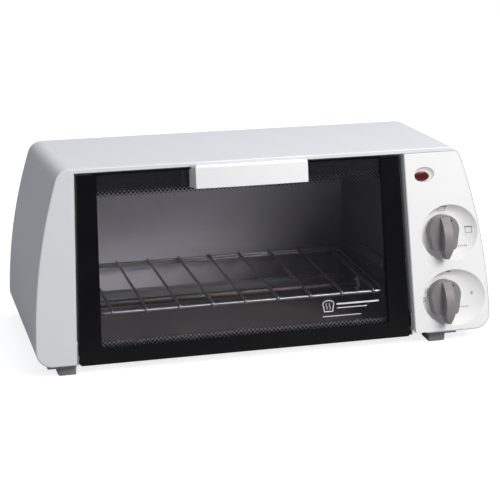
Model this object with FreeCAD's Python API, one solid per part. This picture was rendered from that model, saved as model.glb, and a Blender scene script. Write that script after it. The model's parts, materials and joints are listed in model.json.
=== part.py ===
import FreeCAD, Part
import math
import os
from FreeCAD import Placement, Rotation, Vector

# Compact countertop toaster oven, in millimetres: +X right, +Y back, +Z up.
# It is drawn with y = 0 at the bottom front edge of the body and z = 0 at the body's underside,
# and moved at the end so that the origin is under its middle, on the surface that it stands on.
# "front" positions are (x, v, w): v runs up the leaning front face and w comes out of it.

# Body
body_width = 418.0        # across the sides at their widest
body_depth = 174.0        # bottom front edge to the rear flange
front_height = 165.3      # top of the lip
back_fall = 8.4           # the roof falls this far from the lip to the back
lean = 11.1               # degrees that the front leans back
side_radius = 470.0       # bow of the sides
side_widest = 6.0         # height at which the sides are widest
top_corner = 13.0
bottom_corner = 14.0
front_edge_round = 1.2
sheet = 1.0               # painted steel
hem_height = 3.5          # front lip below the top
rear_flange = 9.0
rear_screw_length = 8.0
bottom_flange = 62.0      # underside of the wrap, in from each side
seam = 0.3                # between pieces that meet at a visible joint

# Door opening, between the wrap's left flange and the control panel
flange_bottom = 34.7
panel_bottom = 73.2
door_taper = 6.4          # each side of the opening leans in by this over its height
door_gap = 3.0
door_under = 2.0          # the door hangs this far below the body's edge
door_top_gap = 2.4        # below the lip
behind_door = 2.7         # from the door's back to the bottom of its recess

# Door
door_face = 6.2           # front of the door, behind the front face
leaf = 0.8
glass_thickness = 4.0
rail_inner_bottom = 23.0  # inner edge of a side rail, from the edge of the opening
rail_inner_top = 20.0
bottom_rail_height = 12.0
glass_in_rail = 10.0
pivot_v = 5.0
pin_radius = 2.0
pin_clearance = 0.05
pin_end_gap = 0.4
hinge_block = 12.0
ear = 1.2                 # hinge bracket's sheet
ear_gap = 0.9             # from the wall of the recess to the bracket
bracket_over_rail = 8.0
bracket_front = 4.2       # in front of the pin's axis
bracket_round = 2.5
bracket_foot = (10.0, 6.0)

# Handle
handle_width = 100.0
handle_height = 20.0
handle_reach = 21.0       # front of the handle, in front of the front face
handle_bow = 2.0
handle_wall = 3.0
handle_above_lip = -1.5   # its top is a little lower than the lip's
handle_offset = 2.75      # right of the middle of the door
handle_foot = 12.0
handle_gap = 1.0          # back of the handle's top, in front of the lip
handle_round = 2.8
screw_radius = 1.75
screw_head_radius = 3.5
screw_head_height = 1.8
screw_clearance = 0.4

# Control panel
panel_wall = 2.5
panel_low = 1.2
knob_inset_x = 44.0       # knob axes, in from the widest part of the right side
mode_height = 90.0        # heights of the knob axes above the body's underside
timer_height = 32.0
well_depth = 6.0
well_floor_radius = 19.0
well_back_wall = 1.2
well_steps = ((0.0, 0.0), (0.42, 0.24), (0.82, 0.6), (1.0, 1.0))   # share of the depth, of the way in
mode_well = (6.2, -1.4, 27.4, 26.2)     # rim centre from the axis, half width, half height
timer_well = (9.0, -1.6, 30.4, 26.0)
lamp_inset_x = 62.5
lamp_drop = 24.7          # below the top of the lip
lamp_half = (7.25, 4.5)
lamp_rim = (2.0, 1.8, 9.6, 6.8)
lamp_depth = 2.6
lamp_seat = 0.7           # floor of the recess round the lens
lamp_back_wall = 1.6
lens_clearance = 0.1
lens_steps = ((-7.0, 1.0), (-2.2, 1.0), (-1.0, 0.93), (-0.2, 0.72))    # w, share of the full size
lamp_bulb = (3.6, 14.0)   # radius and length
lamp_holder = (5.0, 6.0)
boss_inset_low = 9.77     # screw bosses, in from the side at their own height
boss_inset_high = 14.31
boss_radius = 4.0
boss_length = 9.0
bushing_wall = 1.5
bushing_over = 0.2        # stands above the floor of the well
shaft_radius = 3.0
shaft_end_gap = 4.0       # short of the back of its case
running_clearance = 0.05

# Knobs
knob_radius = 14.6
knob_top = 15.8           # top of the disc, above its axis
knob_lift = 0.7           # above the floor of the well
knob_skirt = 8.6
knob_crown = 2.4
knob_chord = 16.4         # flat foot of the disc, below its axis
knob_foot = 11.2          # half width of the foot
knob_corner = 4.2
knob_round = 0.8
grip_top = 15.2
grip_tip = 24.0
grip_width = 8.4
grip_height = 14.6        # crest of the grip, in front of the front face
knob_bore_depth = 9.0
grip_low = 1.2
grip_corner = 2.0
grip_tip_half = 1.5
crest_top = 1.0           # ends of the grip's crest, above the disc's rim
crest_tip = 6.2
crest_middle = -5.0

# Controls behind the panel
timer_size = 44.0
timer_depth = 30.0
timer_round = 3.0
bell_radius = 18.0
bell_depth = 12.0
bell_wall = 1.0
bell_round = 5.0
bell_post = 2.5
switch_radius = 17.0
switch_depth = 20.0
tab_count = 4
tab_pitch = 6.2
tab_first = 10.5          # left of the axis
tab_size = (0.8, 6.0, 8.0)
lead_radius = 1.4
lead_height = 7.0         # above the base plate
lead_spread = 5.0         # either side of the terminal block's middle
lead_start = 4.0          # inside the terminal block
timer_lead_bends = ((36.0, 0.0, 0.0), (56.0, -20.0, 12.0))      # forward, sideways, up from its start
timer_lead_bend = 12.0
switch_lead_bends = ((24.0, 0.0, 0.0), (36.0, 12.0, 30.0))
switch_lead_last = (52.0, 5.5, -4.0)    # forward, sideways, and up from the switch's middle
switch_lead_bend = 10.0
terminal_size = (20.0, 14.0, 12.0)
terminal_gap = 14.0       # in front of the cavity's back wall
cutout_ahead = 72.0       # thermal cutout, in front of the cavity's back wall
cutout_drop = 39.0        # below the cavity's top
cutout_disc = (8.0, 6.0)
cutout_plate = (28.0, 10.0, 1.0)
cutout_tab = (2.0, 6.0, 6.0)
cutout_tab_spread = 5.0

# Cavity
liner = 0.8
cavity_side_gap = 20.3    # cavity wall, in from the edge of the door opening at the bottom
rear_air = 14.0           # behind the cavity's back wall
above_cavity = 18.3
wall_foot = (12.0, 30.0)  # width and front end of the flange under each cavity wall
rib_inset = 20.0
rib_low_share = 0.72      # of the cavity's height
rib_high_share = 0.76
rib_depth = 2.0
rib_round = 0.9
sill_front = 18.6
sill_height = 12.0
ear_front = 6.0           # front edges of the base plate beside the door
frame_top_gap = 0.5
frame_low_gap = 1.5       # above the door's bottom rail
mouth_drop = 3.0
ledge_width = 5.0
ledge_height = 5.0
guard_depth = 4.0
guard_round = 2.4
guard_height = 11.0
guard_slope = 4.6         # degrees
guard_rise = 13.5         # above the rack, at the back end of the guard
guard_front = 34.0
guard_back_gap = 18.0

# Rack
rack_height = 37.0
rack_front = 23.5
rack_back_gap = 3.5
rack_corner = 6.0         # bend of the frame wire
wire_press = 0.5          # how far welded wires sink into each other
hook_bend = 1.6
rack_gap = 2.2            # to each cavity wall
frame_wire = 1.6          # radii
cross_wire = 1.2
cross_pitch = 30.0
cross_first = 11.0        # from the left side wire
rack_stop_spacing = 7.0   # between the two wires at the back
hook_reach = 3.4

# Heating elements
element_radius = 3.3
lower_element_gap = 54.0  # in front of the cavity's back wall
lower_element_z = 16.0
upper_element_gap = 62.0
upper_element_drop = 13.0
insulator_radius = 6.5
insulator_collar = 9.0
insulator_length = 10.0
insulator_inside = 1.5
collar_length = 4.0
element_tail = 16.0       # beyond the cavity wall
element_pin = (1.5, 8.0)  # radius and length

# Crumb tray
tray_sheet = 0.8
tray_rim = 5.5
tray_clearance = 0.4
tray_front_gap = 1.4
tray_lip_out = 6.0
tray_lip_height = 11.0
tray_behind = 10.0        # the tray's box reaches this far behind the cavity
tray_slot_over = 1.5

# Back panel
hump_depth = 8.0
hump_margin = 34.0
hump_round = 4.0
hump_columns = 5
vent_slot = 3.2
vent_length = 26.0
vent_pitch = 8.0
side_vents = 7
side_vent_start = 26.0    # above the cord inlet
base_slots = 5
base_slot_length = 18.0
cord_inset_x = 49.0
cord_height = 40.0
gland_neck = 6.0
gland_flange = 9.0
gland_bore = 3.5
gland_inside = 4.0
gland_outside = 3.0
gland_flange_length = 4.0
gland_lock = (8.0, 3.0)

# Feet
foot_height = 11.0
foot_rim = (25.0, 24.0, 3.0)
foot_body = (16.0, 18.0)
foot_round = 2.5
left_foot_inner = 35.0    # inner edges of the feet, in from the widest part of each side
right_foot_inner = 57.0
front_foot_y = 5.0
rear_foot_gap = 8.0
foot_screw_recess = 5.0
foot_screw_out = 3.0      # above the base plate

reach = 60.0              # how far cutting shapes stick out
half_width = body_width / 2
back_height = front_height - back_fall
tan_lean = math.tan(math.radians(lean))
cos_lean = math.cos(math.radians(lean))
front_plane = Placement(Vector(0, 0, 0), Rotation(Vector(1, 0, 0), 90 - lean))

hem_v = (front_height - hem_height) / cos_lean
opening_left = -half_width + flange_bottom
opening_right = half_width - panel_bottom
door_middle = (opening_left + opening_right) / 2
handle_x = door_middle + handle_offset
opening_half = (opening_right - opening_left) / 2
door_back = door_face + leaf + glass_thickness + leaf
door_foot = -door_under
door_head = hem_v - door_top_gap
pivot_w = -(door_face + leaf + glass_thickness / 2)
return_depth = door_back + behind_door
frame_front = -return_depth
cavity_left = opening_left + cavity_side_gap
cavity_right = opening_right - cavity_side_gap
floor_top = sheet + sheet   # top of the base plate, which lies on the wrap's bottom flanges
tray_slot_top = floor_top + 2 * tray_clearance + tray_rim + tray_slot_over
knob_x = half_width - knob_inset_x
mode_v = mode_height / cos_lean
timer_v = timer_height / cos_lean
panel_back = -(well_depth + panel_wall)
bushing_radius = shaft_radius + bushing_wall
cord_x = half_width - cord_inset_x
cavity_back = body_depth - rear_air
cavity_top = front_height - above_cavity
guard_back = cavity_back - guard_back_gap
rack_back = cavity_back - rack_back_gap
element_places = (
    (cavity_back - lower_element_gap, lower_element_z),
    (cavity_back - upper_element_gap, cavity_top - upper_element_drop),
)
lamp_place = (half_width - lamp_inset_x, (front_height - lamp_drop) / cos_lean)
terminal_y = cavity_back - terminal_gap - terminal_size[1]


def box(x0, x1, y0, y1, z0, z1):
    return Part.makeBox(x1 - x0, y1 - y0, z1 - z0, Vector(x0, y0, z0))


def cylinder(radius, start, direction, length):
    return Part.makeCylinder(radius, length, start, direction)


def on_front(shape):
    # moves a shape drawn as (x, v, w) onto the leaning front
    placed = shape.copy()
    placed.Placement = front_plane.multiply(placed.Placement)
    return placed


def front_box(x0, x1, v0, v1, w0, w1):
    return on_front(box(x0, x1, v0, v1, w0, w1))


def front_prism(points, w0, w1):
    corners = [Vector(x, v, w0) for x, v in points]
    face = Part.Face(Part.makePolygon(corners + corners[:1]))
    return on_front(face.extrude(Vector(0, 0, w1 - w0)))


def front_point(x, v, w):
    return front_plane.multVec(Vector(x, v, w))


def side_prism(points, x0, x1):
    # an outline in (y, z), as long as x0 to x1
    corners = [Vector(x0, y, z) for y, z in points]
    face = Part.Face(Part.makePolygon(corners + corners[:1]))
    return face.extrude(Vector(x1 - x0, 0, 0))


def behind_front(depth):
    # everything behind the plane that lies this deep behind the front face
    wide = half_width + reach
    start = depth / cos_lean
    tall = front_height + reach
    outline = [
        (start - reach * tan_lean, -reach),
        (body_depth + reach, -reach),
        (body_depth + reach, tall),
        (start + tall * tan_lean, tall),
    ]
    return side_prism(outline, -wide, wide)


def opening_edge(side, v):
    # x of the left (-1) or right (1) edge of the door opening at v
    return door_middle + side * (opening_half - door_taper * v / hem_v)


def side_x(height, inset):
    # half width of the body at a height
    radius = side_radius - inset
    return half_width - side_radius + math.sqrt(radius ** 2 - (height - side_widest) ** 2)


def body_block(inset, front_depth, rear_gap):
    # solid body outline, drawn in by inset at the top, the sides and the bottom
    top = front_height + 0.2 * front_height
    low = inset
    middle = (low + top) / 2
    y0 = -reach
    corner = {}
    for side in (-1, 1):
        corner[side, "low"] = Vector(side * side_x(low, inset), y0, low)
        corner[side, "mid"] = Vector(side * side_x(middle, inset), y0, middle)
        corner[side, "top"] = Vector(side * side_x(top, inset), y0, top)
    edges = [
        Part.makeLine(corner[-1, "low"], corner[1, "low"]),
        Part.Arc(corner[1, "low"], corner[1, "mid"], corner[1, "top"]).toShape(),
        Part.makeLine(corner[1, "top"], corner[-1, "top"]),
        Part.Arc(corner[-1, "top"], corner[-1, "mid"], corner[-1, "low"]).toShape(),
    ]
    block = Part.Face(Part.Wire(edges)).extrude(Vector(0, body_depth + 2 * reach, 0))
    lip_y = front_height * tan_lean
    slope = back_fall / (body_depth - lip_y)
    front_top = front_height - inset + slope * (lip_y + reach + 1)
    rear_top = front_height - inset - slope * (body_depth + reach + 1 - lip_y)
    outline = [
        (-reach - 1, -1),
        (body_depth + reach + 1, -1),
        (body_depth + reach + 1, rear_top),
        (-reach - 1, front_top),
    ]
    block = block.common(side_prism(outline, -half_width - 1, half_width + 1))
    block = block.makeFillet(bottom_corner - inset, long_edges(block, -1))
    block = block.makeFillet(top_corner - inset, long_edges(block, 1))
    wide = half_width + reach
    block = block.common(behind_front(front_depth))
    return block.common(box(-wide, wide, -2 * reach, body_depth - rear_gap, -reach, 3 * front_height))


def long_edges(block, end):
    # edges as long as the body, at its bottom (-1) or its top (1)
    return [
        edge for edge in block.Edges
        if edge.Length > body_depth + reach and end * (edge.CenterOfMass.z - front_height / 2) > 0
    ]


def soften_front(block):
    # rounds the edges where the body meets its front face
    inverse = front_plane.inverse()
    edges = [
        edge for edge in block.Edges
        if all(abs(inverse.multVec(vertex.Point).z) < 0.01 for vertex in edge.Vertexes)
    ]
    return block.makeFillet(front_edge_round, edges)


def rear_screw_places():
    upper = back_height - rear_flange / 2 - sheet
    lower = foot_height + rear_flange
    places = []
    for side in (-1, 1):
        places.append((side * (side_x(upper, 0) - rear_flange / 2 - top_corner), upper))
        places.append((side * (side_x(lower, 0) - rear_flange / 2 - sheet / 2), lower))
    places.append((0, upper))
    return places


def outer_wrap():
    shell = soften_front(body_block(0, 0, 0)).cut(body_block(sheet, sheet, sheet))
    bay = body_block(sheet, -reach, -reach)
    window = front_prism(
        [
            (opening_edge(-1, -reach), -reach),
            (half_width + reach, -reach),
            (half_width + reach, hem_v),
            (opening_edge(-1, hem_v), hem_v),
        ],
        -2 * sheet, reach / 2)
    shell = shell.cut(window.common(bay))
    rear = body_block(sheet + rear_flange, -reach, -reach)
    rear_slab = box(-half_width, half_width, body_depth - 3, body_depth + 3, 0, front_height)
    shell = shell.cut(rear.common(rear_slab))
    inner = half_width - bottom_flange
    shell = shell.cut(box(-inner, inner, -reach, body_depth + 1, -1, floor_top))
    # the door's lower edge swings through here
    door_way = box(opening_left, opening_right + panel_wall, -reach, sill_front - seam, -1, sheet)
    tray_way = box(cavity_left, cavity_right, body_depth - 3, body_depth + 1, sheet, tray_slot_top)
    shell = shell.cut(door_way).cut(tray_way)
    wall = front_prism(
        [
            (opening_edge(-1, 0) - sheet, 0),
            (opening_edge(-1, 0), 0),
            (opening_edge(-1, hem_v), hem_v),
            (opening_edge(-1, hem_v) - sheet, hem_v),
        ],
        -return_depth, 0)
    shell = shell.fuse(wall.common(body_block(sheet / 2, 0, 0)))
    for x, z in rear_screw_places():
        shell = shell.cut(cylinder(screw_radius, Vector(x, body_depth - 5, z), Vector(0, 1, 0), 10))
    for x, y in foot_screw_places():
        shell = shell.cut(cylinder(screw_radius, Vector(x, y, -1), Vector(0, 0, 1), sheet + 1))
    return shell.removeSplitter()


def rear_hump(inset):
    # raised middle of the back panel, drawn in by inset
    x0 = cavity_left + hump_margin + inset
    x1 = cavity_right - hump_margin - inset
    z0 = hump_margin + inset
    z1 = back_height - hump_margin / 2 - inset
    back = body_depth + hump_depth - inset
    block = box(x0, x1, body_depth - 2 * sheet - inset, back, z0, z1)
    edges = [edge for edge in block.Edges if edge.CenterOfMass.y > body_depth]
    return block.makeFillet(hump_round - inset, edges)


def back_panel():
    plate_back = body_depth - sheet
    plate_front = plate_back - sheet
    slab = box(-half_width, half_width, plate_front, plate_back, sheet, front_height)
    plate = body_block(sheet, -reach, -reach).common(slab)
    plate = plate.fuse(rear_hump(0)).cut(rear_hump(sheet))
    for height in hump_vent_heights():
        for column in range(hump_columns):
            middle = door_middle + (column - (hump_columns - 1) / 2) * (vent_length + vent_pitch)
            plate = plate.cut(vent(middle, body_depth + hump_depth, height))
    for row in range(side_vents):
        height = cord_height + side_vent_start + row * vent_pitch
        plate = plate.cut(vent(cord_x, plate_back, height))
    plate = plate.cut(box(cavity_left, cavity_right, plate_front - 1, plate_back + 1, 0, tray_slot_top))
    plate = plate.cut(cylinder(gland_neck, Vector(cord_x, plate_front - 5, cord_height), Vector(0, 1, 0), 12))
    for x, z in rear_screw_places():
        plate = plate.cut(cylinder(screw_radius, Vector(x, plate_front - 5, z), Vector(0, 1, 0), 12))
    return plate.removeSplitter()


def hump_vent_heights():
    low = hump_margin + 2 * vent_pitch
    high = back_height - hump_margin / 2 - 2 * vent_pitch
    return [low, low + vent_pitch, high - vent_pitch, high]


def vent(middle, y, z):
    # a level slot with round ends, cut through a rear face at y
    radius = vent_slot / 2
    ends = (middle - vent_length / 2, middle + vent_length / 2)
    slot = box(ends[0], ends[1], y - 3, y + 3, z - radius, z + radius)
    for end in ends:
        slot = slot.fuse(cylinder(radius, Vector(end, y - 3, z), Vector(0, 1, 0), 6))
    return slot


def rear_screws():
    screws = []
    for x, z in rear_screw_places():
        seat = Vector(x, body_depth, z)
        head = cylinder(screw_head_radius, seat, Vector(0, 1, 0), screw_head_height)
        screws.append(head.fuse(cylinder(screw_radius, seat, Vector(0, -1, 0), rear_screw_length)))
    return Part.makeCompound(screws)


def base_plate():
    margin = half_width - bottom_corner - sheet
    rear = body_depth - 2 * sheet
    plate = box(-margin, margin, sill_front, rear, sheet, floor_top)
    left_inner = opening_left - sheet
    right_inner = opening_right + sheet
    plate = plate.fuse(box(-margin, left_inner, ear_front, sill_front, sheet, floor_top))
    plate = plate.fuse(box(right_inner, margin, ear_front, sill_front, sheet, floor_top))
    plate = plate.fuse(box(cavity_left, cavity_right, sill_front, sill_front + sheet, sheet, sill_height))
    for row in range(base_slots):
        y = body_depth / 2 + (row - (base_slots - 1) / 2) * vent_pitch
        x = knob_x - vent_length / 2
        plate = plate.cut(box(x, x + base_slot_length, y, y + vent_slot, 0, floor_top + 1))
    for x, y in foot_screw_places():
        plate = plate.cut(cylinder(screw_radius, Vector(x, y, -1), Vector(0, 0, 1), 5))
    return plate.removeSplitter()


def front_frame():
    # flat plate behind the door, with the mouth of the cavity in it
    top = hem_v - frame_top_gap
    low = bottom_rail_height + frame_low_gap
    plate = front_prism(
        [
            (opening_edge(-1, low) - sheet, low),
            (opening_edge(1, low) + panel_wall, low),
            (opening_edge(1, top) + panel_wall, top),
            (opening_edge(-1, top) - sheet, top),
        ],
        frame_front - sheet, frame_front)
    mouth_top = cavity_top / cos_lean - mouth_drop
    mouth = front_box(cavity_left, cavity_right, -reach, mouth_top, frame_front - 2 * sheet, frame_front + 1)
    return plate.cut(mouth)


def guard(wall, skin):
    # sloping boss pressed into a cavity wall, above the rack's side wire, drawn in by skin
    x1 = wall + guard_depth - skin
    slope = math.tan(math.radians(guard_slope))
    low = rack_height + guard_rise - guard_height / 2
    front = guard_front + skin
    back = guard_back - skin
    rise = (guard_back - guard_front) * slope
    outline = [
        (front, low + rise + skin),
        (back, low + skin),
        (back, low + guard_height - skin),
        (front, low + rise + guard_height - skin),
    ]
    boss = side_prism(outline, wall - liner, x1)
    crest = [edge for edge in boss.Edges if edge.CenterOfMass.x > x1 - 0.1]
    return boss.makeFillet(guard_round - skin, crest)


def cavity_wall(side):
    # drawn for the left wall and mirrored for the right one
    inside = cavity_left
    outside = inside - liner
    foot_width, foot_front = wall_foot
    wall = box(outside, inside, 0, cavity_back + liner, floor_top, cavity_top + liner)
    wall = wall.fuse(box(inside - foot_width, inside, foot_front, cavity_back, floor_top, floor_top + liner))
    top = rack_height - frame_wire - seam
    low = top - ledge_height
    ledge = box(inside, inside + ledge_width, 0, cavity_back, low, top)
    groove = box(outside, inside + ledge_width - liner, 0, cavity_back, low + liner, top - liner)
    wall = wall.fuse(ledge).fuse(guard(inside, 0)).cut(groove).cut(guard(inside, liner))
    for y, z in element_places:
        wall = wall.cut(cylinder(insulator_radius, Vector(inside - 5, y, z), Vector(1, 0, 0), 10))
    wall = wall.common(behind_front(return_depth + sheet))
    wall = wall.common(box(-half_width, half_width, sill_front + sheet, body_depth, 0, front_height))
    if side > 0:
        wall = wall.mirror(Vector(door_middle, 0, 0), Vector(1, 0, 0))
    return wall.removeSplitter()


def cavity_ceiling():
    low = cavity_top + liner
    plate = box(cavity_left - liner, cavity_right + liner, 0, cavity_back + liner, low, low + liner)
    return plate.common(behind_front(return_depth + sheet))


def cavity_back_wall():
    top = cavity_top + liner
    plate = box(cavity_left, cavity_right, cavity_back, cavity_back + liner, tray_slot_top, top)
    low = cavity_top * rib_low_share
    high = cavity_top * rib_high_share
    front = cavity_back - rib_depth
    rib = box(cavity_left + rib_inset, cavity_right - rib_inset, front, cavity_back, low, high)
    rib = rib.makeFillet(rib_round, [edge for edge in rib.Edges if edge.CenterOfMass.y < front + 0.1])
    return plate.fuse(rib)


def element(y, z):
    start = cavity_left - element_tail
    end = cavity_right + element_tail
    pin_width, pin_length = element_pin
    rod = cylinder(element_radius, Vector(start, y, z), Vector(1, 0, 0), end - start)
    for x in (start - pin_length, end):
        rod = rod.fuse(cylinder(pin_width, Vector(x, y, z), Vector(1, 0, 0), pin_length))
    return rod


def element_insulators():
    rings = []
    for y, z in element_places:
        for side in (-1, 1):
            wall_x = cavity_left if side < 0 else cavity_right
            along = Vector(side, 0, 0)
            start = Vector(wall_x - side * insulator_inside, y, z)
            collar_start = Vector(wall_x + side * liner, y, z)
            ring = cylinder(insulator_radius, start, along, insulator_length)
            ring = ring.fuse(cylinder(insulator_collar, collar_start, along, collar_length))
            rings.append(ring.cut(cylinder(element_radius, start - along, along, 2 * insulator_length)))
    return Part.makeCompound(rings)


def wire(start, end, radius):
    along = end - start
    return cylinder(radius, start, along, along.Length)


def rack_frame(left, right):
    # one wire bent into a rectangle with round corners
    z = rack_height
    turn = rack_corner
    corners = [(left, rack_front), (right, rack_front), (right, rack_back), (left, rack_back)]
    edges = []
    for index, (x, y) in enumerate(corners):
        corner = Vector(x, y, z)
        before = (Vector(*corners[index - 1], z) - corner).normalize()
        after = (Vector(*corners[(index + 1) % 4], z) - corner).normalize()
        middle = corner + (before + after) * turn * (1 - math.sqrt(0.5))
        edges.append(Part.Arc(corner + before * turn, middle, corner + after * turn).toShape())
        following = Vector(*corners[(index + 1) % 4], z)
        edges.append(Part.makeLine(corner + after * turn, following - after * turn))
    start = Vector(left, rack_front, z) + Vector(turn, 0, 0)
    ring = Part.Wire(Part.Circle(start, Vector(1, 0, 0), frame_wire).toShape())
    path = Part.Wire(edges[1:] + edges[:1])
    return path.makePipeShell([ring], True, False)


def wire_rack():
    left = cavity_left + rack_gap + frame_wire
    right = cavity_right - rack_gap - frame_wire
    rack = rack_frame(left, right)
    stop_y = rack_back - rack_stop_spacing
    rack = rack.fuse(wire(Vector(left, stop_y, rack_height), Vector(right, stop_y, rack_height), cross_wire))
    count = int((right - left - cross_first) // cross_pitch) + 1
    high = rack_height + frame_wire + cross_wire - wire_press
    front = rack_front - frame_wire - cross_wire + wire_press
    for index in range(count):
        x = left + cross_first + index * cross_pitch
        points = [Vector(x, rack_back, high), Vector(x, front, high), Vector(x, front, high - hook_reach)]
        rack = rack.fuse(bent_tube(points, hook_bend, cross_wire))
    return rack.removeSplitter()


def crumb_tray():
    left = cavity_left + tray_clearance
    right = cavity_right - tray_clearance
    front = sill_front + sheet + tray_front_gap
    box_rear = cavity_back + tray_behind
    rear = body_depth + tray_lip_out
    low = floor_top + tray_clearance
    skin = tray_sheet
    block = box(left, right, front, box_rear, low, low + tray_rim)
    hollow = box(left + skin, right - skin, front + skin, box_rear - skin, low + skin, low + tray_rim + 1)
    tongue = box(left, right, box_rear - skin, rear, low, low + skin)
    lip = box(left, right, rear - skin, rear, low, low + tray_lip_height)
    return block.cut(hollow).fuse(tongue).fuse(lip).removeSplitter()


def ellipse_wire(x, v, w, half_x, half_v):
    centre = Vector(x, v, w)
    if abs(half_x - half_v) < 1e-6:
        return Part.Wire(Part.Circle(centre, Vector(0, 0, 1), half_x).toShape())
    curve = Part.Ellipse(Vector(x + half_x, v, w), Vector(x, v + half_v, w), centre)
    return Part.Wire(curve.toShape())


def well(axis, rim, floor, depth, start, grow):
    # smooth dish: ellipses that shrink and drift from the rim to the floor
    shift_x, shift_v, rim_x, rim_v = rim
    floor_x, floor_v = floor
    sections = []
    for fall, share in well_steps:
        x = axis[0] + shift_x * (1 - share)
        v = axis[1] + shift_v * (1 - share)
        half_x = rim_x + (floor_x - rim_x) * share + grow
        half_v = rim_v + (floor_v - rim_v) * share + grow
        sections.append(ellipse_wire(x, v, start - fall * depth, half_x, half_v))
    return on_front(Part.makeLoft(sections, True, False))


def knob_well(axis_v, rim, grow, start):
    floor = (well_floor_radius, well_floor_radius)
    return well((knob_x, axis_v), rim, floor, well_depth, start, grow)


def control_panel():
    bay = body_block(sheet + seam, 0, 0)
    low = panel_low
    top = hem_v - seam
    face = front_prism(
        [
            (opening_edge(1, low), low),
            (half_width + reach, low),
            (half_width + reach, top),
            (opening_edge(1, top), top),
        ],
        -panel_wall, 0)
    wall = front_prism(
        [
            (opening_edge(1, low), low),
            (opening_edge(1, low) + panel_wall, low),
            (opening_edge(1, top) + panel_wall, top),
            (opening_edge(1, top), top),
        ],
        -return_depth, 0)
    panel = face.fuse(wall).removeSplitter()
    edges = []
    for edge in panel.Edges:
        local = front_plane.inverse().multVec(edge.CenterOfMass)
        if abs(local.z) < 0.01 and local.x < opening_right and edge.Length > front_height / 2:
            edges.append(edge)
    panel = panel.makeFillet(front_edge_round, edges).common(bay)
    for axis_v, rim in ((mode_v, mode_well), (timer_v, timer_well)):
        panel = panel.fuse(knob_well(axis_v, rim, well_back_wall, -panel_wall).common(bay))
        panel = panel.cut(knob_well(axis_v, rim, 0.0, 0.0))
        hole = Part.makeCylinder(bushing_radius, 20, Vector(knob_x, axis_v, panel_back - 5))
        panel = panel.cut(on_front(hole))
    seat = (lamp_half[0] + lamp_seat, lamp_half[1] + lamp_seat)
    panel = panel.fuse(well(lamp_place, lamp_rim, seat, lamp_depth, -panel_wall, lamp_back_wall))
    panel = panel.cut(well(lamp_place, lamp_rim, seat, lamp_depth, 0.0, 0.0))
    x, v = lamp_place
    hole = ellipse_wire(x, v, -reach / 2, lamp_half[0] + lens_clearance, lamp_half[1] + lens_clearance)
    panel = panel.cut(on_front(Part.Face(hole).extrude(Vector(0, 0, reach / 2 + 1))))
    for x, v in panel_boss_places():
        end = Vector(x, v, -panel_wall - boss_length)
        panel = panel.fuse(on_front(Part.makeCylinder(boss_radius, boss_length + 0.1, end)))
        panel = panel.cut(on_front(Part.makeCylinder(screw_radius, boss_length - 1.0, end)))
    over_base = box(opening_right - 1, half_width, ear_front - seam, body_depth, 0, floor_top + seam)
    return panel.cut(over_base).removeSplitter()


def panel_boss_places():
    places = []
    for inset, v in ((boss_inset_low, (mode_v + timer_v) / 2), (boss_inset_high, lamp_place[1])):
        places.append((side_x(v * cos_lean, inset), v))
    return places


def panel_screws():
    screws = []
    for x, v in panel_boss_places():
        end = -panel_wall - boss_length
        shank = Part.makeCylinder(screw_radius, boss_length - 2.0, Vector(x, v, end))
        head = Part.makeCylinder(screw_head_radius, screw_head_height, Vector(x, v, end - screw_head_height))
        screws.append(on_front(head.fuse(shank)))
    return Part.makeCompound(screws)


def indicator_lens():
    x, v = lamp_place
    sections = []
    for w, share in lens_steps:
        sections.append(ellipse_wire(x, v, w, lamp_half[0] * share, lamp_half[1] * share))
    stem = Part.makeLoft(sections[:2], True, True)
    dome = Part.makeLoft(sections[1:3], True, True)
    crown = Part.makeLoft(sections[2:], True, True)
    return on_front(stem.fuse(dome).fuse(crown))


def indicator_body():
    x, v = lamp_place
    bulb_end = lens_steps[0][0] - lamp_bulb[1]
    bulb = Part.makeCylinder(*lamp_bulb, Vector(x, v, bulb_end))
    holder = Part.makeCylinder(*lamp_holder, Vector(x, v, bulb_end - lamp_holder[1]))
    return on_front(bulb.fuse(holder))


def knob_disc(base, rim):
    # round top, sides that draw in to a flat foot, and a front domed from side to side
    right = Vector(knob_radius, knob_top - knob_radius, base)
    left = Vector(-right.x, right.y, base)
    right_foot = Vector(knob_foot, -knob_chord, base)
    left_foot = Vector(-knob_foot, -knob_chord, base)
    plan = Part.Wire([
        Part.Arc(right, Vector(0, knob_top, base), left).toShape(),
        Part.makeLine(left, left_foot),
        Part.makeLine(left_foot, right_foot),
        Part.makeLine(right_foot, right),
    ])
    disc = Part.Face(plan).extrude(Vector(0, 0, knob_skirt + knob_crown + 1))
    corners = [
        edge for edge in disc.Edges
        if abs(edge.CenterOfMass.y + knob_chord) < 0.01 and abs(edge.CenterOfMass.x) > knob_foot - 0.01
    ]
    disc = disc.makeFillet(knob_corner, corners)
    start = Vector(-knob_radius, -reach, rim)
    end = Vector(knob_radius, -reach, rim)
    start_low = Vector(-knob_radius - 1, -reach, base - 1)
    end_low = Vector(knob_radius + 1, -reach, base - 1)
    start_out = Vector(start_low.x, -reach, rim)
    end_out = Vector(end_low.x, -reach, rim)
    dome = Part.Wire([
        Part.Arc(start, Vector(0, -reach, rim + knob_crown), end).toShape(),
        Part.makePolygon([end, end_out, end_low, start_low, start_out, start]),
    ])
    disc = disc.common(Part.Face(dome).extrude(Vector(0, 2 * reach, 0)))
    rim_edges = [edge for edge in disc.Edges if edge.CenterOfMass.z > rim - 0.01]
    return disc.makeFillet(knob_round, rim_edges)


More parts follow.
